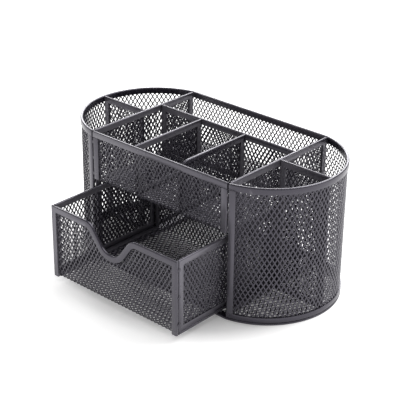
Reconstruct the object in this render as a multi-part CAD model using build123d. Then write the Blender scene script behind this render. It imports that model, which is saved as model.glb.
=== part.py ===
from build123d import *
from math import acos, ceil, degrees, hypot, radians, sqrt
import os

# Desk organizer of black expanded-metal mesh: eight compartments and a drawer.
# Millimetres. X runs along the length, Y to the back, Z up. The origin is the middle
# of the body's underside. The drawer is modelled pulled out by DRAWER_OUT.

# ---- driving dimensions -------------------------------------------------------------
LENGTH = 220.0              # overall, over the rounded ends
DEPTH = 110.0               # overall, front rim to back rim
HEIGHT = 104.0              # overall, to the top of the rims
CORE_LENGTH = 129.4         # between the middles of the two full-depth partitions

SHEET = 0.8                 # expanded-metal sheet
SKIN = 0.6                  # steel strip that is folded over each sheet edge
EDGE_GAP = 0.1              # strip to sheet, inside the fold
BAND = 4.6                  # height of a folded strip on a rim
POST_BAND = 5.1             # width of an upright strip
LIP_BAND = 5.5              # width of the flat strip round the base sheet
RAIL_HEIGHT = 4.0           # bottom rail, above the base strip
LIP_SKIN = 0.4              # the base strip is folded from thinner steel
JOINT_GAP = 0.1             # between two welded pieces
PARTITION_RECESS = 2.6      # partitions stop behind the front and back strips
FRONT_SLOT = 1.3            # between the front panel's strips and the ends' strips
SHELF_Z = 65.2              # middle of the shelf sheet over the drawer bay
FOLD_RADIUS = 1.6           # outside radius where a sheet is folded
SHELF_HEM_BAND = 4.5
SHELF_NOSE = 0.6            # rounding under the shelf's front edge

LONG_DIVIDER_Y = 17.0
LEFT_DIVIDER_X = -23.0
RIGHT_DIVIDER_X = 19.0
END_DIVIDER_Y = -0.6
DIVIDER_NOSE = 9.0          # rounded front corner of the right short divider
CORNER_ROUND = 0.9          # rounding along a rim's top

DRAWER_WIDTH = 122.0
DRAWER_HEIGHT = 56.8
DRAWER_DEPTH = 106.5
DRAWER_OUT = 45.0           # how far the drawer stands out, as photographed
DRAWER_LIFT = 0.3           # drawer to runner
RUNNER_HEIGHT = 3.4
RUNNER_WIDTH = 6.0
RUNNER_WALL = 0.8
RUNNER_END_GAP = 2.0        # runner end to the base strip's inner edge
REAR_ROUND = 6.0            # rounded rear top corner of a drawer side

SCOOP_X = -1.5              # finger scoop in the drawer front
SCOOP_TOP = 39.0
SCOOP_BOTTOM = 12.0
SCOOP_DROP = 18.5
SCOOP_RADIUS = 9.0
FRONT_BAND = 4.5            # strip along the drawer front's top edge

CELL_WIDTH = 8.2            # one diamond of the sheet, across and up
CELL_HEIGHT = 12.4
STRAND = 1.5                # metal left between two diamonds
NET_BORDER = 2.0            # unpierced margin round a sheet
BASE_COARSE = 1.3           # the base sheet's diamonds are this much larger

WELD_LEVELS = (0.12, 0.5, 0.88)     # heights of the corner welds, as shares of the post
WELD_LENGTH = 1.8
WELD_RECESS = 0.3           # behind the strips' faces
SPOT_RADIUS = 1.3
SPOT_HEIGHT = 0.5
SPOT_ROUND = 0.8            # rounding of a spot's rim, as a share of its height

# ---- sizes that follow --------------------------------------------------------------
STRIP = SHEET + 2 * (EDGE_GAP + SKIN)           # a folded strip's whole thickness
LIP = SHEET + 2 * (EDGE_GAP + LIP_SKIN)         # the base strip's whole thickness
SLOT = SHEET + 2 * EDGE_GAP
INSET = SKIN + EDGE_GAP                         # sheet edge inside a strip's outer edge
HALF_CORE = CORE_LENGTH / 2
HALF_DEPTH = DEPTH / 2
BULGE = (LENGTH - CORE_LENGTH) / 2
END_RADIUS = (HALF_DEPTH ** 2 + BULGE ** 2) / (2 * BULGE)
END_CENTRE = LENGTH / 2 - END_RADIUS
WALL_Y = HALF_DEPTH - STRIP / 2                 # middle of the front and back sheets
FLOOR = LIP                                     # walls and dividers stand on the base strip
RAIL_TOP = FLOOR + RAIL_HEIGHT
INNER_X = HALF_CORE - STRIP / 2 - JOINT_GAP     # inside faces of the partitions, less a gap
OUTER_X = HALF_CORE + STRIP / 2 + JOINT_GAP     # their outside faces, plus a gap
FRONT_X = HALF_CORE - FRONT_SLOT / 2             # half length of the front panel
BACK_X = HALF_CORE - JOINT_GAP / 2               # half length of the back wall
STRIP_INNER_Y = HALF_DEPTH - STRIP - JOINT_GAP  # just inside the front and back strips
DRAWER_Z = LIP - LIP_SKIN - EDGE_GAP + RUNNER_HEIGHT + DRAWER_LIFT
DRAWER_TOP = DRAWER_Z + DRAWER_HEIGHT
DRAWER_FRONT = -HALF_DEPTH - DRAWER_OUT
DRAWER_BACK = DRAWER_FRONT + DRAWER_DEPTH
HALF_DRAWER = DRAWER_WIDTH / 2
SIDE_Z = DRAWER_Z + LIP                         # drawer sides stand on the floor strips
STRIP_FOOT = SHELF_Z + STRIP / 2                # the front strips end above the shelf

nodes = {}


# ---- planes: local x and y are the panel's own width and height ----------------------
def facing_front(y):
    return Plane(origin=(0, y, 0), x_dir=(1, 0, 0), z_dir=(0, -1, 0))


def facing_side(x):
    return Plane(origin=(x, 0, 0), x_dir=(0, 1, 0), z_dir=(1, 0, 0))


def lying(z):
    return Plane.XY.offset(z)


# ---- outlines -----------------------------------------------------------------------
def rectangle(low_u, low_v, high_u, high_v):
    middle = Pos((low_u + high_u) / 2, (low_v + high_v) / 2)
    return (middle * Rectangle(high_u - low_u, high_v - low_v)).face()


def rounded_top(low_u, low_v, high_u, high_v, radius, low_side):
    """A rectangle with one of its two top corners rounded."""
    plain = rectangle(low_u, low_v, high_u, high_v)
    top = plain.vertices().sort_by(Axis.Y)[-2:].sort_by(Axis.X)
    return fillet(top[0] if low_side else top[-1], radius).face()


def body_outline(inset):
    """The body's plan: a straight middle and two arc ends, drawn in by an inset."""
    radius = END_RADIUS - inset
    edge_y = HALF_DEPTH - inset
    edge_x = END_CENTRE + sqrt(radius ** 2 - edge_y ** 2)
    tip = END_CENTRE + radius
    path = [
        Line((-edge_x, -edge_y), (edge_x, -edge_y)),
        ThreePointArc((edge_x, -edge_y), (tip, 0), (edge_x, edge_y)),
        Line((edge_x, edge_y), (-edge_x, edge_y)),
        ThreePointArc((-edge_x, edge_y), (-tip, 0), (-edge_x, -edge_y)),
    ]
    return Face(Wire(path))


def drawer_front_outline(foot):
    """The drawer front with its wave-shaped finger scoop, down to a given height."""
    low = DRAWER_TOP - SCOOP_DROP
    corners = [
        (-HALF_DRAWER, DRAWER_TOP),
        (SCOOP_X - SCOOP_TOP / 2, DRAWER_TOP),
        (SCOOP_X - SCOOP_BOTTOM / 2, low),
        (SCOOP_X + SCOOP_BOTTOM / 2, low),
        (SCOOP_X + SCOOP_TOP / 2, DRAWER_TOP),
        (HALF_DRAWER, DRAWER_TOP),
    ]
    wave = FilletPolyline(*corners, radius=SCOOP_RADIUS)
    rest = Polyline(corners[0], (-HALF_DRAWER, foot), (HALF_DRAWER, foot), corners[-1])
    return make_face(wave.edges() + rest.edges()).face()


# ---- sheets and the strips folded over their edges ----------------------------------
def plate(outline, thickness):
    """A flat sheet of this outline, with its middle in the outline's plane."""
    return Solid.extrude(Pos(0, 0, -thickness / 2) * outline.face(), Vector(0, 0, thickness))


def pierced(outline, margin=NET_BORDER, coarse=1.0):
    """The outline with diamond gaps in staggered rows, an unpierced margin left round it."""
    cell_w = CELL_WIDTH * coarse
    cell_h = CELL_HEIGHT * coarse
    slant = STRAND * hypot(cell_w, cell_h)
    half_w = (cell_w - slant / cell_h) / 2
    half_h = (cell_h - slant / cell_w) / 2
    box = outline.bounding_box()
    centre = box.center()
    inner = offset(outline, -margin).face()
    columns = ceil(box.size.X / cell_w)
    rows = ceil(box.size.Y / cell_h)
    gaps = []
    for i in range(-columns, columns + 1):
        for j in range(-rows, rows + 1):
            if (i + j) % 2:
                continue
            u = centre.X + i * cell_w / 2
            v = centre.Y + j * cell_h / 2
            tips = [(u + half_w, v), (u, v + half_h), (u - half_w, v), (u, v - half_h)]
            if all(inner.is_inside((a, b, 0)) for a, b in tips):
                gaps.append(Wire.make_polygon([(a, b, 0) for a, b in tips], close=True))
    return Face(outline.outer_wire(), gaps)


def net(outline, **options):
    return plate(pierced(outline, **options), SHEET)


def trim(outline, amount):
    return offset(outline, -amount, kind=Kind.INTERSECTION).face()


def folded_frame(outline, band=BAND, rounding=CORNER_ROUND):
    """A strip folded over all edges of a flat sheet: a frame with a slot for the sheet."""
    frame = plate(outline, STRIP)
    rims = frame.faces().filter_by(Axis.Z)
    frame = fillet([edge for face in rims for edge in face.outer_wire().edges()], rounding)
    frame -= plate(trim(outline, band), 2 * STRIP)
    frame -= plate(trim(outline, SKIN), SLOT)
    return frame


def framed_panel(name, plane, outline, band=BAND):
    """One flat divider: its pierced sheet and the frame folded round it."""
    nodes[name + "_mesh"] = plane * net(trim(outline, INSET))
    nodes[name + "_frame"] = plane * folded_frame(outline, band)


def channel_profile(height, opening_down):
    """A strip's section, round-backed: local x across the sheet, local y along its height."""
    back = height / 2 if opening_down else -height / 2
    shape = Rectangle(STRIP, height)
    round_end = shape.vertices().filter_by(lambda point: abs(point.Y - back) < SKIN / 2)
    shape = fillet(round_end, CORNER_ROUND)
    shift = -SKIN if opening_down else SKIN
    return shape - Pos(0, shift) * Rectangle(SLOT, height)


def straight_channel(start, end, height, back):
    """A folded strip along a line. back is the way that its closed side points."""
    start = Vector(*start)
    run = Vector(*end) - start
    across = run.cross(Vector(*back)).normalized()
    plane = Plane(origin=start, x_dir=across, z_dir=run.normalized())
    if plane.y_dir.dot(Vector(*back)) < 0:
        plane = Plane(origin=start, x_dir=-across, z_dir=run.normalized())
    return extrude(plane * channel_profile(height, True), run.length)


def end_angle(x, radius):
    """Angle on an end arc, seen from its centre, of the point at length x."""
    return degrees(acos((x - END_CENTRE) / radius))


MID_RADIUS = END_RADIUS - STRIP / 2
FRONT_ANGLE = end_angle(HALF_CORE + FRONT_SLOT / 2, END_RADIUS)
BACK_ANGLE = end_angle(HALF_CORE + JOINT_GAP / 2, END_RADIUS - STRIP)


def turned(profile, side, front=FRONT_ANGLE, back=BACK_ANGLE):
    """Turn a section about an end's centre line, from so far in front of the end's middle
    to so far behind it, in degrees."""
    centre = Axis((side * END_CENTRE, 0, 0), (0, 0, 1))
    first = -front if side > 0 else 180 - back
    start = Pos(side * END_CENTRE, 0, 0) * Rot(0, 0, first)
    return revolve(start * profile, centre, front + back)


def end_channel(side, z_low, z_high, opening_down):
    """The folded strip along an end wall's top or bottom."""
    section = Plane.XZ * Pos(MID_RADIUS, (z_low + z_high) / 2)
    return turned(section * channel_profile(z_high - z_low, opening_down), side)


def end_wall(side):
    """An end's curved sheet, pierced by diamonds that point at the end's centre."""
    low = FLOOR + INSET
    high = HEIGHT - INSET
    half = FRONT_ANGLE - degrees(INSET / MID_RADIUS)
    section = Plane.XZ * Pos(MID_RADIUS, (low + high) / 2) * Rectangle(SHEET, high - low)
    wall = turned(section, side, front=half)
    slant = STRAND * hypot(CELL_WIDTH, CELL_HEIGHT)
    half_w = (CELL_WIDTH - slant / CELL_HEIGHT) / 2
    half_h = (CELL_HEIGHT - slant / CELL_WIDTH) / 2
    arc = 2 * radians(half) * MID_RADIUS
    columns = ceil(arc / CELL_WIDTH)
    rows = ceil((high - low) / CELL_HEIGHT)
    diamond = Polygon((half_w, 0), (0, half_h), (-half_w, 0), (0, -half_h))
    cutter = facing_side(0) * plate(diamond, 4 * SHEET)
    cutters = []
    for i in range(-columns, columns + 1):
        for j in range(-rows, rows + 1):
            u = i * CELL_WIDTH / 2
            v = (low + high) / 2 + j * CELL_HEIGHT / 2
            clear = abs(u) + half_w < arc / 2 - NET_BORDER
            clear = clear and low + NET_BORDER < v - half_h and v + half_h < high - NET_BORDER
            if (i + j) % 2 or not clear:
                continue
            heading = degrees(u / MID_RADIUS) + (0 if side > 0 else 180)
            place = Pos(side * END_CENTRE, 0, v) * Rot(0, 0, heading) * Pos(MID_RADIUS, 0, 0)
            cutters.append(place * cutter)
    return wall - cutters


def end_post(side):
    """The upright strip on an end sheet's front edge."""
    low = RAIL_TOP + JOINT_GAP
    high = HEIGHT - BAND - JOINT_GAP
    band_turn = degrees(POST_BAND / MID_RADIUS)
    skin_turn = degrees(SKIN / MID_RADIUS)

    def bar(thickness, near, far):
        """An upright bar between two angles in front of the middle of the end."""
        section = Plane.XZ * Pos(MID_RADIUS, (low + high) / 2)
        return turned(section * Rectangle(thickness, high - low), side, near, -far)

    slot = bar(SLOT, FRONT_ANGLE - skin_turn, FRONT_ANGLE - 2 * band_turn)
    return bar(STRIP, FRONT_ANGLE, FRONT_ANGLE - band_turn) - slot


def upright(x, y, z_low, z_high, back):
    return straight_channel((x, y, z_low), (x, y, z_high), POST_BAND, back)


# ---- the base -----------------------------------------------------------------------
def base():
    """The flat base sheet and the strip folded round its whole edge."""
    level = lying(LIP / 2)
    sheet = body_outline(LIP_SKIN + EDGE_GAP)
    nodes["base_mesh"] = level * net(sheet, margin=LIP_BAND, coarse=BASE_COARSE)
    ring = plate(body_outline(0), LIP) - plate(body_outline(LIP_BAND), 2 * LIP)
    nodes["base_strip"] = level * (ring - plate(body_outline(LIP_SKIN), SLOT))


# ---- the outer walls ----------------------------------------------------------------
def ends():
    for name, side in (("left", -1), ("right", 1)):
        nodes[f"{name}_end_mesh"] = end_wall(side)
        nodes[f"{name}_end_top_rim"] = end_channel(side, HEIGHT - BAND, HEIGHT, True)
        nodes[f"{name}_end_bottom_rail"] = end_channel(side, FLOOR, RAIL_TOP, False)
        nodes[f"{name}_end_front_strip"] = end_post(side)


def back_wall():
    """The middle of the sheet that goes round the back and both ends, parted from them."""
    sheet = rectangle(-BACK_X, FLOOR + INSET, BACK_X, HEIGHT - INSET)
    nodes["back_mesh"] = facing_front(WALL_Y) * net(sheet)
    top = HEIGHT - BAND / 2
    foot = FLOOR + RAIL_HEIGHT / 2
    nodes["back_top_rim"] = straight_channel(
        (-BACK_X, WALL_Y, top), (BACK_X, WALL_Y, top), BAND, (0, 0, 1))
    nodes["back_bottom_rail"] = straight_channel(
        (-BACK_X, WALL_Y, foot), (BACK_X, WALL_Y, foot), RAIL_HEIGHT, (0, 0, -1))


def front_wall_and_shelf():
    """The front panel and the shelf. They are one folded sheet, parted here at the fold."""
    edge_x = FRONT_X - INSET
    front = rectangle(-edge_x, SHELF_Z + SHEET / 2 + JOINT_GAP, edge_x, HEIGHT - INSET)
    nodes["front_mesh"] = facing_front(-WALL_Y) * net(front)
    edge_x = INNER_X - INSET
    shelf = rectangle(-edge_x, -WALL_Y - SHEET / 2, edge_x, STRIP_INNER_Y)
    sheet = lying(SHELF_Z) * net(shelf, margin=NET_BORDER + SHEET)
    fold = sheet.edges().filter_by(Axis.X).sort_by(lambda e: e.center().Y + e.center().Z)[0]
    nodes["shelf_mesh"] = fillet(fold, SHELF_NOSE)
    top = HEIGHT - BAND / 2
    nodes["front_top_rim"] = straight_channel(
        (-FRONT_X, -WALL_Y, top), (FRONT_X, -WALL_Y, top), BAND, (0, 0, 1))
    high = HEIGHT - BAND - JOINT_GAP
    for name, side in (("left", -1), ("right", 1)):
        x = side * (FRONT_X - POST_BAND / 2)
        nodes[f"front_{name}_strip"] = upright(x, -WALL_Y, STRIP_FOOT, high, (side, 0, 0))
        reach = HALF_DEPTH - PARTITION_RECESS - POST_BAND - JOINT_GAP
        hem_x = side * (INNER_X - SHELF_HEM_BAND / 2)
        nodes[f"shelf_{name}_strip"] = straight_channel(
            (hem_x, -reach, SHELF_Z), (hem_x, reach, SHELF_Z), SHELF_HEM_BAND, (side, 0, 0))


# ---- partitions and dividers --------------------------------------------------------
def partitions():
    reach = HALF_DEPTH - PARTITION_RECESS
    for name, side in (("left", -1), ("right", 1)):
        outline = rectangle(-reach, FLOOR, reach, HEIGHT)
        framed_panel(f"{name}_partition", facing_side(side * HALF_CORE), outline)


def dividers():
    shelf_top = SHELF_Z + SHEET / 2 + JOINT_GAP
    outline = rectangle(-INNER_X, SHELF_Z + STRIP / 2 + JOINT_GAP, INNER_X, HEIGHT)
    framed_panel("long_divider", facing_front(LONG_DIVIDER_Y), outline)
    front = -STRIP_INNER_Y
    rear = LONG_DIVIDER_Y - STRIP / 2 - JOINT_GAP
    square = rectangle(front, shelf_top, rear, HEIGHT)
    framed_panel("left_short_divider", facing_side(LEFT_DIVIDER_X), square)
    nosed = rounded_top(front, shelf_top, rear, HEIGHT, DIVIDER_NOSE, True)
    framed_panel("right_short_divider", facing_side(RIGHT_DIVIDER_X), nosed)
    reach = END_CENTRE + sqrt((END_RADIUS - STRIP) ** 2 - (abs(END_DIVIDER_Y) + STRIP / 2) ** 2)
    for name, side in (("left", -1), ("right", 1)):
        low, high = sorted((side * OUTER_X, side * (reach - JOINT_GAP)))
        outline = rectangle(low, FLOOR, high, HEIGHT)
        framed_panel(f"{name}_end_divider", facing_front(END_DIVIDER_Y), outline)


def corner_welds():
    """Small weld bridges in the two slots where front, partition and end meet."""
    depth = PARTITION_RECESS - WELD_RECESS - JOINT_GAP
    width = FRONT_SLOT / 2
    bead = Box(width, depth, WELD_LENGTH)
    x = FRONT_X + JOINT_GAP + width / 2
    y = -HALF_DEPTH + WELD_RECESS + depth / 2
    beads = []
    for side in (-1, 1):
        for share in WELD_LEVELS:
            z = STRIP_FOOT + share * (HEIGHT - BAND - STRIP_FOOT)
            beads.append(Pos(side * x, y, z) * bead)
    nodes["corner_welds"] = Compound(children=beads)


def runners():
    """Two folded strips on the base sheet that carry the drawer's floor strips."""
    seat = LIP - LIP_SKIN - EDGE_GAP
    reach = HALF_DEPTH - LIP_BAND - RUNNER_END_GAP
    outer = Rectangle(RUNNER_WIDTH, RUNNER_HEIGHT)
    hollow = Rectangle(RUNNER_WIDTH - 2 * RUNNER_WALL, RUNNER_HEIGHT)
    section = outer - Pos(0, -RUNNER_WALL) * hollow
    for name, side in (("left", -1), ("right", 1)):
        x = side * (HALF_DRAWER - RUNNER_WIDTH / 2)
        place = facing_front(reach) * Pos(x, seat + RUNNER_HEIGHT / 2)
        nodes[f"{name}_drawer_runner"] = extrude(place * section, 2 * reach)


# ---- the drawer ---------------------------------------------------------------------
def open_frame(outline, band):
    """A strip folded over a sheet's top and side edges. Its foot is cut off square,
    and behind the sheet it stops above the folded floor."""
    frame = folded_frame(outline, band)
    low = outline.bounding_box().min.Y
    frame -= plate(rectangle(-DRAWER_WIDTH, low, DRAWER_WIDTH, DRAWER_Z), 2 * STRIP)
    behind = rectangle(-DRAWER_WIDTH, low, DRAWER_WIDTH, SIDE_Z + JOINT_GAP)
    return frame - Pos(0, 0, -STRIP / 2 - SLOT / 2) * plate(behind, STRIP + 2 * SLOT)


def drawer():
    front_y = DRAWER_FRONT + STRIP / 2
    rear_y = DRAWER_BACK - STRIP / 2
    foot = DRAWER_Z + LIP / 2 - SHEET / 2
    edge = HALF_DRAWER - INSET
    border = NET_BORDER + SHEET
    front = trim(drawer_front_outline(foot - INSET), INSET)
    rear = rectangle(-edge, foot, edge, DRAWER_TOP - INSET)
    floor = rectangle(-edge, front_y - SHEET / 2, edge, rear_y + SHEET / 2)
    tray = facing_front(front_y) * net(front, margin=border)
    tray += facing_front(rear_y) * net(rear, margin=border)
    tray += lying(DRAWER_Z + LIP / 2) * net(floor, margin=border)
    folds = tray.edges().filter_by(Axis.X).filter_by(
        lambda e: abs(e.center().Z - foot) < EDGE_GAP and e.length > DRAWER_WIDTH / 2)
    nodes["drawer_tray_mesh"] = fillet(folds, FOLD_RADIUS)

    below = DRAWER_Z - 2 * FRONT_BAND
    front_frame = open_frame(drawer_front_outline(below), FRONT_BAND)
    nodes["drawer_front_strip"] = facing_front(front_y) * front_frame
    rear_outline = rectangle(-HALF_DRAWER, below, HALF_DRAWER, DRAWER_TOP)
    rear_plane = Plane(origin=(0, rear_y, 0), x_dir=(-1, 0, 0), z_dir=(0, 1, 0))
    nodes["drawer_rear_strip"] = rear_plane * open_frame(rear_outline, BAND)

    side_front = DRAWER_FRONT + STRIP + JOINT_GAP
    side_back = DRAWER_BACK - STRIP - JOINT_GAP
    outline = rounded_top(side_front, SIDE_Z, side_back, DRAWER_TOP, REAR_ROUND, False)
    for name, side in (("left", -1), ("right", 1)):
        plane = facing_side(side * (HALF_DRAWER - STRIP / 2))
        framed_panel(f"drawer_{name}_side", plane, outline)
        x = side * (HALF_DRAWER - LIP_BAND / 2)
        nodes[f"drawer_{name}_floor_strip"] = floor_strip(x, side, side_front, side_back)
    nodes["drawer_corner_welds"] = drawer_welds(side_front)


def floor_strip(x, side, y_low, y_high):
    """The flat strip folded over the drawer floor's side edge."""
    section = Rectangle(LIP_BAND, LIP)
    section -= Pos(-side * LIP_SKIN, 0) * Rectangle(LIP_BAND, SLOT)
    place = facing_front(y_high) * Pos(x, DRAWER_Z + LIP / 2)
    return extrude(place * section, y_high - y_low)


def drawer_welds(seam_y):
    """Spot welds on the drawer's front corners, across the seam of front and side."""
    button = Cylinder(SPOT_RADIUS, SPOT_HEIGHT, align=(Align.CENTER, Align.CENTER, Align.MIN))
    button = fillet(button.edges().group_by(Axis.Z)[-1], SPOT_HEIGHT * SPOT_ROUND)
    spots = []
    for side in (-1, 1):
        for share in WELD_LEVELS:
            z = SIDE_Z + share * (DRAWER_TOP - SIDE_Z)
            seat = Plane(origin=(side * HALF_DRAWER, seam_y, z), z_dir=(side, 0, 0))
            spots.append(seat * button)
    return Compound(children=spots)


base()
ends()
back_wall()
front_wall_and_shelf()
partitions()
dividers()
corner_welds()
runners()
drawer()

os.makedirs("parts", exist_ok=True)
for name, shape in nodes.items():
    export_step(shape, f"parts/{name}.step")
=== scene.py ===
from math import acos, cos, radians, sin, tan

import bmesh
import bpy
from mathutils import Matrix, Quaternion, Vector


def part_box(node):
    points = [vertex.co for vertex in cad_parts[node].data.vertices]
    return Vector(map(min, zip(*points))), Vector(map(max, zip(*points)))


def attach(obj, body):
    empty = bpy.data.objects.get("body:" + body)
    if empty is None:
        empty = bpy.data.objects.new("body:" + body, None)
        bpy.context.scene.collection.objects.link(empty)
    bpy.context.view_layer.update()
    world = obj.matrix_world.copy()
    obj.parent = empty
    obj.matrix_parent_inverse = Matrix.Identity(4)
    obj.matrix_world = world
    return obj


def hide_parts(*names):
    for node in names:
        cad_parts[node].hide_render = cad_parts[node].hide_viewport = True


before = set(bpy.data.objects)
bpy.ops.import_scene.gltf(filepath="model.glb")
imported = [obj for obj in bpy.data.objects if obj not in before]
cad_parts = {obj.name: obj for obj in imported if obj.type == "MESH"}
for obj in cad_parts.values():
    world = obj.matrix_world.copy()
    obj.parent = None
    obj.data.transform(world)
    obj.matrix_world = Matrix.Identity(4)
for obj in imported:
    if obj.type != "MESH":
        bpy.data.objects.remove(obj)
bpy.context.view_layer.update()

# Desk organizer of black expanded-metal mesh with a drawer. Metres, in the frame of the
# solids: X along the length, Y to the back, Z up, the desk at 0.

MM = 0.001
TOUCH = 1e-6                    # two places closer than this are one

# ---- sizes that the pieces share --------------------------------------------------------
HALF_LENGTH = 110 * MM
HALF_DEPTH = 55 * MM
HALF_CORE = 64.7 * MM           # middle of each full-depth partition
FRONT_SLOT = 1.3 * MM           # between the front panel and an end
HEIGHT = 104 * MM
BULGE = HALF_LENGTH - HALF_CORE  # how far an end stands out
END_RADIUS = (HALF_DEPTH ** 2 + BULGE ** 2) / (2 * BULGE)
END_CENTRE = HALF_LENGTH - END_RADIUS
STRIP = 2.2 * MM                # a folded strip, over both skins
LIP = 1.8 * MM                  # the thinner strip round the base
BAND = 4.6 * MM
POST_BAND = 5.1 * MM
LIP_BAND = 5.5 * MM
RAIL = 4 * MM
FRONT_BAND = 4.5 * MM           # along the drawer front
INSET = 0.7 * MM                # a sheet's edge, inside its strip
LIP_INSET = 0.6 * MM            # the base sheet's edge, inside the thinner strip
FOLD_ROUND = 0.85 * MM          # rounding along a strip's folded edge
THIN_FOLD_ROUND = 0.6 * MM      # the same on the strips of a sheet that lies flat
CUT_ROUND = 0.2 * MM            # rounding along a strip's other edges
SHEET_BEND = 1.4 * MM           # radius where a net is folded
SHELF_Z = 65.2 * MM
SHELF_BACK = 52.6 * MM
FRONT_NET_WIDTH = 127 * MM      # the front panel and the shelf
DIVIDER_NOSE = 9 * MM           # rounded front corner of the right short divider
PLAN_ANGLE = acos((HALF_CORE - END_CENTRE) / END_RADIUS)
FRONT_ANGLE = acos((HALF_CORE + FRONT_SLOT / 2 - END_CENTRE) / END_RADIUS)
BACK_ANGLE = acos((HALF_CORE - END_CENTRE) / (END_RADIUS - STRIP))
MID_RADIUS = END_RADIUS - STRIP / 2
END_STEPS = 96                  # straight steps round an end
PLAN_STEPS = 48                 # the same round the base

CELL_WIDE = 3.5 * MM            # one diamond of the expanded metal
CELL_TALL = 6.0 * MM
STRAND = 0.84 * MM
STRAND_TWIST = 0.18 * MM
NET_THICK = 0.38 * MM

HALF_DRAWER = 61 * MM
DRAWER_Z = 5.0 * MM
DRAWER_TOP = 61.8 * MM
DRAWER_FRONT = -100 * MM
DRAWER_BACK = 6.5 * MM
DRAWER_NOSE = 6 * MM            # rounded rear top corner of a drawer side
TRAY_NET_WIDTH = 120.6 * MM
SCOOP_X = -1.5 * MM             # the finger scoop: its middle, and its width above and below
SCOOP_TOP = 39 * MM
SCOOP_BOTTOM = 12 * MM
SCOOP_DROP = 18.5 * MM
SCOOP_RADIUS = 9 * MM
SCOOP_NET_INSET = 1.6 * MM      # the tray's net, inside the strip along the scoop


# ---- at the bench: small steps that every piece uses ------------------------------------
def begin():
    if bpy.context.mode != "OBJECT":
        bpy.ops.object.mode_set(mode="OBJECT")
    bpy.ops.object.select_all(action="DESELECT")


def take(piece):
    """Select this piece and nothing else."""
    begin()
    piece.select_set(True)
    bpy.context.view_layer.objects.active = piece


def edit(piece):
    take(piece)
    bpy.ops.object.mode_set(mode="EDIT")


def done():
    bpy.ops.object.mode_set(mode="OBJECT")


def pick(piece, kind, test):
    """In edit mode, select the verts, edges or faces that pass a test, and count them."""
    bpy.ops.mesh.select_mode(type={"verts": "VERT", "edges": "EDGE", "faces": "FACE"}[kind])
    bpy.ops.mesh.select_all(action="DESELECT")
    shape = bmesh.from_edit_mesh(piece.data)
    found = 0
    for part in getattr(shape, kind):
        if test(part):
            part.select_set(True)
            found += 1
    shape.select_flush_mode()
    bmesh.update_edit_mesh(piece.data)
    return found


def settle(piece, matrix=None):
    """Put a piece in its place and leave that place in its mesh."""
    take(piece)
    if matrix is not None:
        piece.matrix_world = matrix @ piece.matrix_world
    bpy.ops.object.transform_apply(location=True, rotation=True, scale=True)


def modifier(piece, kind, **settings):
    """Add a modifier and apply it at once."""
    take(piece)
    step = piece.modifiers.new(kind.title(), kind)
    for key, value in settings.items():
        setattr(step, key, value)
    bpy.ops.object.modifier_apply(modifier=step.name)


def copy_of(piece, name):
    """A copy with its own mesh."""
    twin = piece.copy()
    twin.data = piece.data.copy()
    twin.name = twin.data.name = name
    bpy.context.scene.collection.objects.link(twin)
    return twin


def named(name):
    """Name the piece that was just added."""
    piece = bpy.context.active_object
    piece.name = piece.data.name = name
    return piece


# ---- which way a flat piece faces: it is made upright in the XZ plane --------------------
def facing_front(y):
    return Matrix.Translation((0, y, 0))


def facing_side(x):
    return Matrix.Translation((x, 0, 0)) @ Matrix.Rotation(radians(90), 4, "Z")


def lying(z):
    return Matrix.Translation((0, 0, z)) @ Matrix.Rotation(radians(-90), 4, "X")


# ---- finishes ---------------------------------------------------------------------------
VIOLET_CAST = (0.90, 0.86, 1.0, 1)
# painted highlight: the paler colour that the edges are painted with
PAINTED_EDGE_HIGHLIGHT = (0.16, 0.155, 0.175, 1)
DARKER, LIGHTER = 0.8, 1.25             # patches of the coat, against its own colour


def powder_coat(name, colour, roughness, grain, edges):
    """Black powder coat with a violet cast: a fine orange peel, a shine that is a little
    uneven, and a painted highlight, a paler colour along the edges."""
    coat = bpy.data.materials.new(name)
    coat.use_nodes = True
    nodes, links = coat.node_tree.nodes, coat.node_tree.links
    shader = nodes["Principled BSDF"]
    shader.inputs["Specular IOR Level"].default_value = 0.85
    shader.inputs["Specular Tint"].default_value = VIOLET_CAST
    place = nodes.new("ShaderNodeTexCoord")

    patches = nodes.new("ShaderNodeTexNoise")
    patches.inputs["Scale"].default_value = 60
    patches.inputs["Detail"].default_value = 4
    links.new(place.outputs["Object"], patches.inputs["Vector"])
    tint = nodes.new("ShaderNodeMix")
    tint.data_type = "RGBA"
    tint.inputs["A"].default_value = (*[c * DARKER for c in colour], 1)
    tint.inputs["B"].default_value = (*[c * LIGHTER for c in colour], 1)
    links.new(patches.outputs["Fac"], tint.inputs["Factor"])

    # painted highlight: where Pointiness finds an edge, the colour is mixed towards a paler
    # grey
    surface = nodes.new("ShaderNodeNewGeometry")
    highlight_mask = nodes.new("ShaderNodeMapRange")
    highlight_mask.inputs["From Min"].default_value = 0.53
    highlight_mask.inputs["From Max"].default_value = 0.62
    highlight_mask.inputs["To Max"].default_value = edges
    links.new(surface.outputs["Pointiness"], highlight_mask.inputs["Value"])
    highlight_mix = nodes.new("ShaderNodeMix")
    highlight_mix.data_type = "RGBA"
    highlight_mix.inputs["B"].default_value = PAINTED_EDGE_HIGHLIGHT
    links.new(highlight_mask.outputs["Result"], highlight_mix.inputs["Factor"])
    links.new(tint.outputs["Result"], highlight_mix.inputs["A"])
    links.new(highlight_mix.outputs["Result"], shader.inputs["Base Color"])

    shine = nodes.new("ShaderNodeMapRange")
    shine.inputs["From Min"].default_value = 0.3
    shine.inputs["From Max"].default_value = 0.7
    shine.inputs["To Min"].default_value = roughness - 0.05
    shine.inputs["To Max"].default_value = roughness + 0.06
    links.new(patches.outputs["Fac"], shine.inputs["Value"])
    links.new(shine.outputs["Result"], shader.inputs["Roughness"])

    peel = nodes.new("ShaderNodeTexNoise")
    peel.inputs["Scale"].default_value = grain
    peel.inputs["Detail"].default_value = 3
    links.new(place.outputs["Object"], peel.inputs["Vector"])
    bump = nodes.new("ShaderNodeBump")
    bump.inputs["Strength"].default_value = 0.35
    bump.inputs["Distance"].default_value = 0.05 * MM
    links.new(peel.outputs["Fac"], bump.inputs["Height"])
    links.new(bump.outputs["Normal"], shader.inputs["Normal"])
    return coat


# edges sets how strongly each coat's edges are painted paler as a highlight
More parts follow.
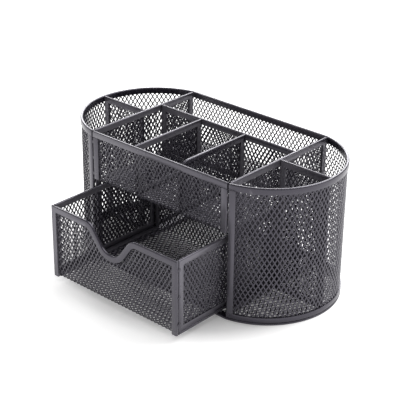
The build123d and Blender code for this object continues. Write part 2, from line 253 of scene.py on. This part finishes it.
STRIP_COAT = powder_coat("powder coated strip", colour=(0.014, 0.0125, 0.019),
                         roughness=0.24, grain=1400, edges=0.8)
NET_COAT = powder_coat("powder coated mesh", colour=(0.018, 0.0165, 0.024),
                       roughness=0.26, grain=1800, edges=0.3)


def finish_piece(piece, nodes, body, coat):
    """Give a piece its coat, its body and the nodes that it stands for."""
    piece.data.materials.clear()
    piece.data.materials.append(coat)
    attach(piece, body)
    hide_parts(*nodes)


def body_of(node):
    return "drawer" if node.startswith("drawer_") else "organizer"


# ---- the expanded metal -----------------------------------------------------------------
def one_diamond():
    """One diamond of the net: four half strands round a gap, with the strands' twist."""
    begin()
    bpy.ops.mesh.primitive_circle_add(vertices=4, radius=1, fill_type="NGON",
                                      rotation=(radians(90), 0, 0))
    piece = named("diamond")
    piece.scale = (CELL_WIDE / 2, CELL_TALL / 2, 1)
    settle(piece)
    edit(piece)
    bpy.ops.mesh.select_all(action="SELECT")
    bpy.ops.mesh.inset(thickness=STRAND / 2, use_even_offset=True)
    pick(piece, "faces", lambda f: f.calc_center_median().length < STRAND / 4)
    bpy.ops.mesh.delete(type="ONLY_FACE")
    # the gap's left corner goes forward and its right corner back, which twists the strands
    for side in (-1, 1):
        pick(piece, "verts", lambda v: abs(v.co.z) < STRAND / 8
             and 0.2 * CELL_WIDE < side * v.co.x < 0.4 * CELL_WIDE)
        bpy.ops.transform.translate(value=(0, side * STRAND_TWIST, 0))
    done()
    return piece


DIAMOND = one_diamond()


def flat_net(name, low_u, low_v, high_u, high_v):
    """A rectangle of net, upright in the XZ plane, cut straight on its four sides."""
    net = copy_of(DIAMOND, name)
    columns = int((high_u - low_u) / CELL_WIDE) + 2
    rows = int((high_v - low_v) / CELL_TALL) + 2
    steps = [(2, (CELL_WIDE / 2, 0, CELL_TALL / 2)), (columns, (CELL_WIDE, 0, 0)),
             (rows, (0, 0, CELL_TALL))]
    for count, offset in steps:
        modifier(net, "ARRAY", count=count, use_relative_offset=False,
                 use_constant_offset=True, constant_offset_displace=offset)
    middle = Vector(((low_u + high_u) / 2, 0, (low_v + high_v) / 2))
    start = Vector(((columns - 0.5) * CELL_WIDE / 2, 0, (rows - 0.5) * CELL_TALL / 2))
    settle(net, Matrix.Translation(middle - start))
    edit(net)
    bpy.ops.mesh.select_all(action="SELECT")
    bpy.ops.mesh.remove_doubles(threshold=STRAND / 20)
    for place, outward in (((low_u, 0, 0), (-1, 0, 0)), ((high_u, 0, 0), (1, 0, 0)),
                           ((0, 0, low_v), (0, 0, -1)), ((0, 0, high_v), (0, 0, 1))):
        bpy.ops.mesh.select_all(action="SELECT")
        bpy.ops.mesh.bisect(plane_co=place, plane_no=outward, clear_outer=True)
    done()
    return net


def drop_outside(net, outside):
    """Take away the half strands that reach past an outline; the strip hides the cut."""
    edit(net)
    if pick(net, "faces", lambda f: any(outside(v.co) for v in f.verts)):
        bpy.ops.mesh.delete(type="FACE")
    done()


def give_thickness(net):
    modifier(net, "SOLIDIFY", thickness=NET_THICK, offset=0)
    take(net)
    bpy.ops.object.shade_smooth()


def net_panel(node, place, low, high, outside=None):
    """A flat net for one node: low and high are its corners in its own plane."""
    net = flat_net(node.replace("_mesh", "") + "_net", *low, *high)
    if outside:
        drop_outside(net, outside)
    give_thickness(net)
    settle(net, place)
    finish_piece(net, [node], body_of(node), NET_COAT)


# ---- bending along a path ---------------------------------------------------------------
def path_along(name, points):
    """A curve through these points of the XY plane, for bending pieces along."""
    line = bpy.data.curves.new(name, "CURVE")
    line.dimensions = "3D"
    line.twist_mode = "Z_UP"
    spline = line.splines.new("POLY")
    spline.points.add(len(points) - 1)
    for spot, (x, y) in zip(spline.points, points):
        spot.co = (x, y, 0, 1)
    path = bpy.data.objects.new(name, line)
    bpy.context.scene.collection.objects.link(path)
    return path


def bend(piece, path):
    """Bend a straight piece, which lies along +X from 0, along the path."""
    bpy.context.view_layer.update()
    modifier(piece, "CURVE", object=path, deform_axis="POS_X")


# ---- folded strips ----------------------------------------------------------------------
def bar(name, low, high, folded, cuts=0, rounding=FOLD_ROUND):
    """A straight strip. folded is the way that its closed, rounded edge faces."""
    begin()
    low, high, folded = Vector(low), Vector(high), Vector(folded)
    bpy.ops.mesh.primitive_cube_add(size=1, location=(low + high) / 2, scale=high - low)
    piece = named(name)
    settle(piece)
    size = high - low
    run = max(range(3), key=lambda i: size[i])
    level = max(low.dot(folded), high.dot(folded))

    def along(e):
        way = e.verts[0].co - e.verts[1].co
        return abs(way[run]) > 0.9 * way.length

    edit(piece)
    if cuts:
        pick(piece, "edges", along)
        bpy.ops.mesh.subdivide(number_cuts=cuts)
    pick(piece, "edges", lambda e: along(e) and all(
        v.co.dot(folded) > level - TOUCH for v in e.verts))
    bpy.ops.mesh.bevel(offset=rounding, offset_type="OFFSET", segments=4, affect="EDGES")
    done()
    ease_edges(piece)
    return piece


def ease_edges(piece):
    """Round the sharp edges that are left a little, and shade the piece."""
    modifier(piece, "BEVEL", width=CUT_ROUND, segments=2, limit_method="ANGLE",
             angle_limit=radians(60))
    take(piece)
    bpy.ops.object.shade_smooth_by_angle(angle=radians(35))


def node_bar(node, folded, rounding=FOLD_ROUND):
    """A straight strip in the place of one node."""
    low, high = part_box(node)
    piece = bar(node + "_steel", low, high, folded, rounding=rounding)
    finish_piece(piece, [node], body_of(node), STRIP_COAT)


def outline_plane(name, low, high):
    """A flat upright rectangle, ready to be shaped into an outline."""
    begin()
    (low_u, low_v), (high_u, high_v) = low, high
    bpy.ops.mesh.primitive_plane_add(size=1, rotation=(radians(90), 0, 0),
                                     location=((low_u + high_u) / 2, 0, (low_v + high_v) / 2))
    piece = named(name)
    piece.scale = (high_u - low_u, high_v - low_v, 1)
    settle(piece)
    return piece


def strip_round(piece, band, thickness, rounding=FOLD_ROUND, foot=None):
    """Turn a flat outline into the strip folded round its edge. Where foot is given, the
    strip is cut off straight at that height."""
    outline = {(round(v.co.x, 6), round(v.co.z, 6)) for v in piece.data.vertices}
    edit(piece)
    bpy.ops.mesh.select_all(action="SELECT")
    bpy.ops.mesh.inset(thickness=band, use_even_offset=True)
    bpy.ops.mesh.delete(type="ONLY_FACE")
    if foot is not None:
        bpy.ops.mesh.select_all(action="SELECT")
        bpy.ops.mesh.bisect(plane_co=(0, 0, foot), plane_no=(0, 0, -1), clear_outer=True)
    done()
    modifier(piece, "SOLIDIFY", thickness=thickness, offset=0)
    edit(piece)
    pick(piece, "edges", lambda e: abs(e.verts[0].co.y - e.verts[1].co.y) < TOUCH and all(
        (round(v.co.x, 6), round(v.co.z, 6)) in outline or on_side(v, outline, foot)
        for v in e.verts))
    bpy.ops.mesh.bevel(offset=rounding, offset_type="OFFSET", segments=4, affect="EDGES")
    done()
    ease_edges(piece)


def on_side(v, outline, foot):
    """A corner that the cut at the foot has made on the outline's straight sides."""
    if foot is None or abs(v.co.z - foot) > TOUCH:
        return False
    reach = max(x for x, z in outline)
    return abs(abs(v.co.x) - reach) < TOUCH


def framed_panel(stem, place, low, high, nose=0):
    """A divider: its net and the strip folded round it. nose rounds the top corner at its
    high end, or at its low end where nose is negative."""
    name = f"{stem}_frame_steel"
    piece = outline_plane(name, low, high)
    side = -1 if nose < 0 else 1
    corner = (low[0] if nose < 0 else high[0], high[1])
    if nose:
        edit(piece)
        pick(piece, "verts", lambda v: abs(v.co.x - corner[0]) < TOUCH
             and abs(v.co.z - corner[1]) < TOUCH)
        bpy.ops.mesh.bevel(offset=abs(nose), offset_type="OFFSET", segments=10,
                           profile=0.5, affect="VERTICES")
        done()
    strip_round(piece, BAND, STRIP)
    settle(piece, place)
    finish_piece(piece, [f"{stem}_frame"], body_of(stem), STRIP_COAT)

    radius = abs(nose) - 2 * INSET
    centre = (corner[0] - side * abs(nose), corner[1] - abs(nose))

    def outside(co):
        past_u = side * (co.x - centre[0])
        past_v = co.z - centre[1]
        return past_u > 0 and past_v > 0 and past_u ** 2 + past_v ** 2 > radius ** 2

    net_panel(f"{stem}_mesh", place, (low[0] + INSET, low[1] + INSET),
              (high[0] - INSET, high[1] - INSET), outside if nose else None)


def node_panel(stem, run, nose=0):
    """The divider in the place of its nodes, which runs along X (0) or Y (1)."""
    low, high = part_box(f"{stem}_frame")
    place = facing_side((low.x + high.x) / 2) if run else facing_front((low.y + high.y) / 2)
    framed_panel(stem, place, (low[run], low.z), (high[run], high.z), nose)


# ---- the base ---------------------------------------------------------------------------
def plan_outline(name):
    """The organizer's plan, flat and upright: straight front and back, two arc ends."""
    piece = outline_plane(name, (-HALF_CORE, -HALF_DEPTH), (HALF_CORE, HALF_DEPTH))
    edit(piece)
    for side in (-1, 1):
        pick(piece, "edges", lambda e: all(side * v.co.x > HALF_CORE - TOUCH
                                           for v in e.verts))
        bpy.ops.mesh.subdivide(number_cuts=PLAN_STEPS - 1)
        shape = bmesh.from_edit_mesh(piece.data)
        for v in shape.verts:
            if side * v.co.x > HALF_CORE - TOUCH:
                turn = v.co.z / HALF_DEPTH * PLAN_ANGLE
                v.co.x = side * (END_CENTRE + END_RADIUS * cos(turn))
                v.co.z = END_RADIUS * sin(turn)
        bmesh.update_edit_mesh(piece.data)
    done()
    return piece


def inside_plan(x, y, inset):
    if abs(y) > HALF_DEPTH - inset:
        return False
    past = abs(x) - END_CENTRE
    return past < 0 or past ** 2 + y ** 2 < (END_RADIUS - inset) ** 2


def base():
    piece = plan_outline("base_strip_steel")
    strip_round(piece, LIP_BAND, LIP, rounding=THIN_FOLD_ROUND)
    settle(piece, lying(LIP / 2))
    finish_piece(piece, ["base_strip"], "organizer", STRIP_COAT)
    half_length = HALF_LENGTH - LIP_INSET
    half_depth = HALF_DEPTH - LIP_INSET
    net_panel("base_mesh", lying(LIP / 2), (-half_length, -half_depth),
              (half_length, half_depth), lambda co: not inside_plan(co.x, co.z, LIP_INSET))


# ---- the rounded ends -------------------------------------------------------------------
def ends():
    """The rounded ends. Each is bent from its front edge to its meeting with the back."""
    length = (FRONT_ANGLE + BACK_ANGLE) * MID_RADIUS
    half = STRIP / 2
    rail_top = LIP + RAIL
    rim_low = HEIGHT - BAND
    cuts = END_STEPS - 1
    strips = [
        ("top_rim", (0, -half, rim_low), (length, half, HEIGHT), (0, 0, 1), cuts),
        ("bottom_rail", (0, -half, LIP), (length, half, rail_top), (0, 0, -1), cuts),
        ("front_strip", (0, -half, rail_top), (POST_BAND, half, rim_low), (-1, 0, 0), 0),
    ]
    turns = [-FRONT_ANGLE + (FRONT_ANGLE + BACK_ANGLE) * i / END_STEPS
             for i in range(END_STEPS + 1)]
    for side, name in ((-1, "left"), (1, "right")):
        points = [(side * (END_CENTRE + MID_RADIUS * cos(t)), MID_RADIUS * sin(t))
                  for t in turns]
        path = path_along(f"{name}_end_path", points)
        net = flat_net(f"{name}_end_net", INSET, LIP + INSET, length, HEIGHT - INSET)
        bend(net, path)
        give_thickness(net)
        finish_piece(net, [f"{name}_end_mesh"], "organizer", NET_COAT)
        for part, low, high, folded, cuts in strips:
            node = f"{name}_end_{part}"
            piece = bar(f"{node}_steel", low, high, folded, cuts)
            bend(piece, path)
            finish_piece(piece, [node], "organizer", STRIP_COAT)
        bpy.data.objects.remove(path)


# ---- the straight walls -----------------------------------------------------------------
def back_wall():
    low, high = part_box("back_mesh")
    y = (low.y + high.y) / 2
    net_panel("back_mesh", facing_front(y), (low.x, low.z), (high.x, high.z))
    node_bar("back_top_rim", (0, 0, 1))
    node_bar("back_bottom_rail", (0, 0, -1))


def folded_net(name, nodes, body, width, path_points, outside=None):
    """A net folded along a path seen from the side; the path's points are (y, z)."""
    path = path_along(f"{name}_path", path_points)
    length = sum((Vector(a) - Vector(b)).length
                 for a, b in zip(path_points, path_points[1:]))
    net = flat_net(name, -width / 2, 0, width / 2, length)
    if outside:
        drop_outside(net, outside)
    # laid along +X for the bend: up the net becomes along the path
    settle(net, Matrix(((0, 0, 1, 0), (0, 1, 0, 0), (-1, 0, 0, 0), (0, 0, 0, 1))))
    bend(net, path)
    give_thickness(net)
    # the bend is made lying flat: stand it up, so that the net's width runs along -X
    settle(net, Matrix(((0, 0, -1, 0), (1, 0, 0, 0), (0, 1, 0, 0), (0, 0, 0, 1))))
    finish_piece(net, nodes, body, NET_COAT)
    bpy.data.objects.remove(path)


PATH_STEP = 3 * MM


def rounded_path(corners, radius, steps=6):
    """Points along straight runs joined by arcs, a few millimetres apart at most."""
    spots = [Vector(c) for c in corners]
    points = [spots[0]]
    for before, corner, after in zip(spots, spots[1:], spots[2:]):
        back = (before - corner).normalized()
        on = (after - corner).normalized()
        half = back.angle(on) / 2
        reach = radius / tan(half)
        centre = corner + (back + on).normalized() * radius / sin(half)
        start = corner + back * reach - centre
        end = corner + on * reach - centre
        turn = start.angle_signed(end)
        for i in range(steps + 1):
            a = -turn * i / steps
            points.append(centre + Vector((start.x * cos(a) - start.y * sin(a),
                                           start.x * sin(a) + start.y * cos(a))))
    points.append(spots[-1])
    dense = []
    for a, b in zip(points, points[1:]):
        pieces = max(1, int((b - a).length / PATH_STEP))
        dense += [a + (b - a) * i / pieces for i in range(pieces)]
    return [tuple(p) for p in dense + [points[-1]]]


def front_and_shelf():
    wall_y = -HALF_DEPTH + STRIP / 2
    corners = [(wall_y, HEIGHT - INSET), (wall_y, SHELF_Z), (SHELF_BACK, SHELF_Z)]
    folded_net("front_and_shelf_net", ["front_mesh", "shelf_mesh"], "organizer",
               FRONT_NET_WIDTH, rounded_path(corners, SHEET_BEND))
    node_bar("front_top_rim", (0, 0, 1))
    for name, side in (("left", -1), ("right", 1)):
        node_bar(f"front_{name}_strip", (side, 0, 0))
        node_bar(f"shelf_{name}_strip", (side, 0, 0))


def partitions_and_dividers():
    for name, nose in (("left", 0), ("right", -DIVIDER_NOSE)):
        node_panel(f"{name}_partition", run=1)
        node_panel(f"{name}_short_divider", run=1, nose=nose)
        node_panel(f"{name}_end_divider", run=0)
    node_panel("long_divider", run=0)


# ---- the drawer -------------------------------------------------------------------------
def scoop_height(x, inset):
    """Top of the drawer front's sheet at x, the inset below its strip's edge."""
    top = DRAWER_TOP - inset
    past = abs(x - SCOOP_X)
    if past > SCOOP_TOP / 2 + inset:
        return top
    slope = SCOOP_DROP / ((SCOOP_TOP - SCOOP_BOTTOM) / 2)
    on_slope = top - slope * (SCOOP_TOP / 2 + inset / 2 - past)
    return max(top - SCOOP_DROP, min(top, on_slope))


def drawer():
    front_y = DRAWER_FRONT + STRIP / 2
    rear_y = DRAWER_BACK - STRIP / 2
    floor_z = DRAWER_Z + LIP / 2
    top = DRAWER_TOP - INSET
    corners = [(front_y, top), (front_y, floor_z), (rear_y, floor_z), (rear_y, top)]
    # the flat net starts at the front's top edge, so z there is how far down a point is,
    # and the fold turns left and right round
    folded_net("drawer_tray_net", ["drawer_tray_mesh"], "drawer", TRAY_NET_WIDTH,
               rounded_path(corners, SHEET_BEND),
               lambda co: co.z < SCOOP_DROP + BAND
               and top - co.z > scoop_height(-co.x, SCOOP_NET_INSET))

    below = DRAWER_Z - 2 * FRONT_BAND
    piece = outline_plane("drawer_front_strip_steel", (-HALF_DRAWER, below),
                          (HALF_DRAWER, DRAWER_TOP))
    edit(piece)
    # the top edge gets a point for each of the scoop's corners, and each goes to its place
    low = DRAWER_TOP - SCOOP_DROP
    scoop = [(SCOOP_X - SCOOP_TOP / 2, DRAWER_TOP), (SCOOP_X - SCOOP_BOTTOM / 2, low),
             (SCOOP_X + SCOOP_BOTTOM / 2, low), (SCOOP_X + SCOOP_TOP / 2, DRAWER_TOP)]
    pick(piece, "edges", lambda e: all(v.co.z > DRAWER_TOP - TOUCH for v in e.verts))
    bpy.ops.mesh.subdivide(number_cuts=len(scoop))
    step = 2 * HALF_DRAWER / (len(scoop) + 1)
    for i, (x, z) in enumerate(scoop):
        start = -HALF_DRAWER + (i + 1) * step
        pick(piece, "verts", lambda v: v.co.z > DRAWER_TOP - TOUCH
             and abs(v.co.x - start) < TOUCH)
        bpy.ops.transform.translate(value=(x - start, 0, z - DRAWER_TOP))
    pick(piece, "verts", lambda v: abs(v.co.x - SCOOP_X) < SCOOP_TOP / 2 + TOUCH)
    turn = Vector((SCOOP_TOP / 2 - SCOOP_BOTTOM / 2, -SCOOP_DROP)).angle(Vector((1, 0)))
    bpy.ops.mesh.bevel(offset=SCOOP_RADIUS * tan(turn / 2), offset_type="OFFSET",
                       segments=12, profile=0.5, affect="VERTICES")
    done()
    strip_round(piece, FRONT_BAND, STRIP, foot=DRAWER_Z)
    settle(piece, facing_front(front_y))
    finish_piece(piece, ["drawer_front_strip"], "drawer", STRIP_COAT)

    piece = outline_plane("drawer_rear_strip_steel", (-HALF_DRAWER, below),
                          (HALF_DRAWER, DRAWER_TOP))
    strip_round(piece, BAND, STRIP, foot=DRAWER_Z)
    settle(piece, facing_front(rear_y))
    finish_piece(piece, ["drawer_rear_strip"], "drawer", STRIP_COAT)

    for name, side in (("left", -1), ("right", 1)):
        node_panel(f"drawer_{name}_side", run=1, nose=DRAWER_NOSE)
        node_bar(f"drawer_{name}_floor_strip", (side, 0, 0), rounding=THIN_FOLD_ROUND)


base()
ends()
back_wall()
front_and_shelf()
partitions_and_dividers()
drawer()
bpy.data.objects.remove(DIAMOND)

# the welds and runners are seen as their solids
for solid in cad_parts.values():
    if not solid.hide_render:
        solid.data.materials.clear()
        solid.data.materials.append(STRIP_COAT)


# ---- the desk, the light and the camera -------------------------------------------------
def desk():
    begin()
    bpy.ops.mesh.primitive_plane_add(size=12, location=(0, 0, 0))
    floor = named("desk_top")
    paint = bpy.data.materials.new("pale desk")
    paint.use_nodes = True
    nodes, links = paint.node_tree.nodes, paint.node_tree.links
    nodes.clear()
    out = nodes.new("ShaderNodeOutputMaterial")
    matt = nodes.new("ShaderNodeBsdfDiffuse")
    matt.inputs["Color"].default_value = (0.9, 0.9, 0.9, 1)
    glow = nodes.new("ShaderNodeEmission")
    seen = nodes.new("ShaderNodeLightPath")
    either = nodes.new("ShaderNodeMath")
    either.operation = "MAXIMUM"
    lift = nodes.new("ShaderNodeMath")
    lift.operation = "MULTIPLY"
    # painted shade: the lift fades out under the organizer, where the desk lies in the shade,
    # so the desk is painted darker there
    place = nodes.new("ShaderNodeTexCoord")
    centred = nodes.new("ShaderNodeMapping")
    centred.inputs["Location"].default_value = (0, 0.12, 0)
    centred.inputs["Scale"].default_value = (5, 6, 1)
    round_spot = nodes.new("ShaderNodeTexGradient")
    round_spot.gradient_type = "SPHERICAL"
    fade = nodes.new("ShaderNodeMapRange")
    fade.inputs["From Min"].default_value = 0.44
    fade.inputs["From Max"].default_value = 0.54
    fade.inputs["To Min"].default_value = 0.50
    fade.inputs["To Max"].default_value = 0.15
    links.new(place.outputs["Object"], centred.inputs["Vector"])
    links.new(centred.outputs["Vector"], round_spot.inputs["Vector"])
    links.new(round_spot.outputs["Fac"], fade.inputs["Value"])
    links.new(fade.outputs["Result"], lift.inputs[1])
    both = nodes.new("ShaderNodeAddShader")
    links.new(seen.outputs["Is Camera Ray"], either.inputs[0])
    links.new(seen.outputs["Is Glossy Ray"], either.inputs[1])
    links.new(either.outputs[0], lift.inputs[0])
    links.new(lift.outputs[0], glow.inputs["Strength"])
    links.new(matt.outputs[0], both.inputs[0])
    links.new(glow.outputs[0], both.inputs[1])
    links.new(both.outputs[0], out.inputs["Surface"])
    floor.data.materials.append(paint)


def softbox(name, place, aim, size, power):
    begin()
    bpy.ops.object.light_add(type="AREA", location=place)
    lamp = bpy.context.active_object
    lamp.name = name
    lamp.data.shape = "RECTANGLE"
    lamp.data.size, lamp.data.size_y = size
    lamp.data.energy = power
    lamp.rotation_mode = "QUATERNION"
    lamp.rotation_quaternion = (Vector(aim) - Vector(place)).to_track_quat("-Z", "Y")


def studio():
    world = bpy.data.worlds.new("studio")
    world.use_nodes = True
    back = world.node_tree.nodes["Background"]
    back.inputs["Color"].default_value = (1.0, 0.99, 0.985, 1)
    back.inputs["Strength"].default_value = 0.5
    bpy.context.scene.world = world
    softbox("softbox_above", place=(0.35, 0.9, 1.6), aim=(0, 0, 0.05),
            size=(1.6, 1.2), power=27)
    softbox("softbox_low_behind", place=(-1.05, 1.2, 0.8), aim=(0, 0, 0.08),
            size=(1.7, 0.5), power=20)


CAMERA_PLACE = (0.52875, -0.60082, 0.44299)
CAMERA_AIM = (-0.00566, -0.00353, 0.05)
CAMERA_LENS = 108.88            # millimetres, on a sensor 36 wide
CAMERA_ROLL = radians(0.68)     # the photo leans a little


def camera():
    begin()
    bpy.ops.object.camera_add(location=CAMERA_PLACE)
    cam = bpy.context.active_object
    cam.name = "photo_camera"
    cam.data.lens = CAMERA_LENS
    cam.data.sensor_width = 36
    cam.data.clip_start = 0.05
    cam.data.clip_end = 50
    aim = Vector(CAMERA_AIM) - cam.location
    cam.rotation_mode = "QUATERNION"
    roll = Quaternion((0, 0, 1), CAMERA_ROLL)
    cam.rotation_quaternion = aim.to_track_quat("-Z", "Y") @ roll
    bpy.context.scene.camera = cam


desk()
studio()
camera()
view = bpy.context.scene.view_settings
view.view_transform = "Standard"

begin()
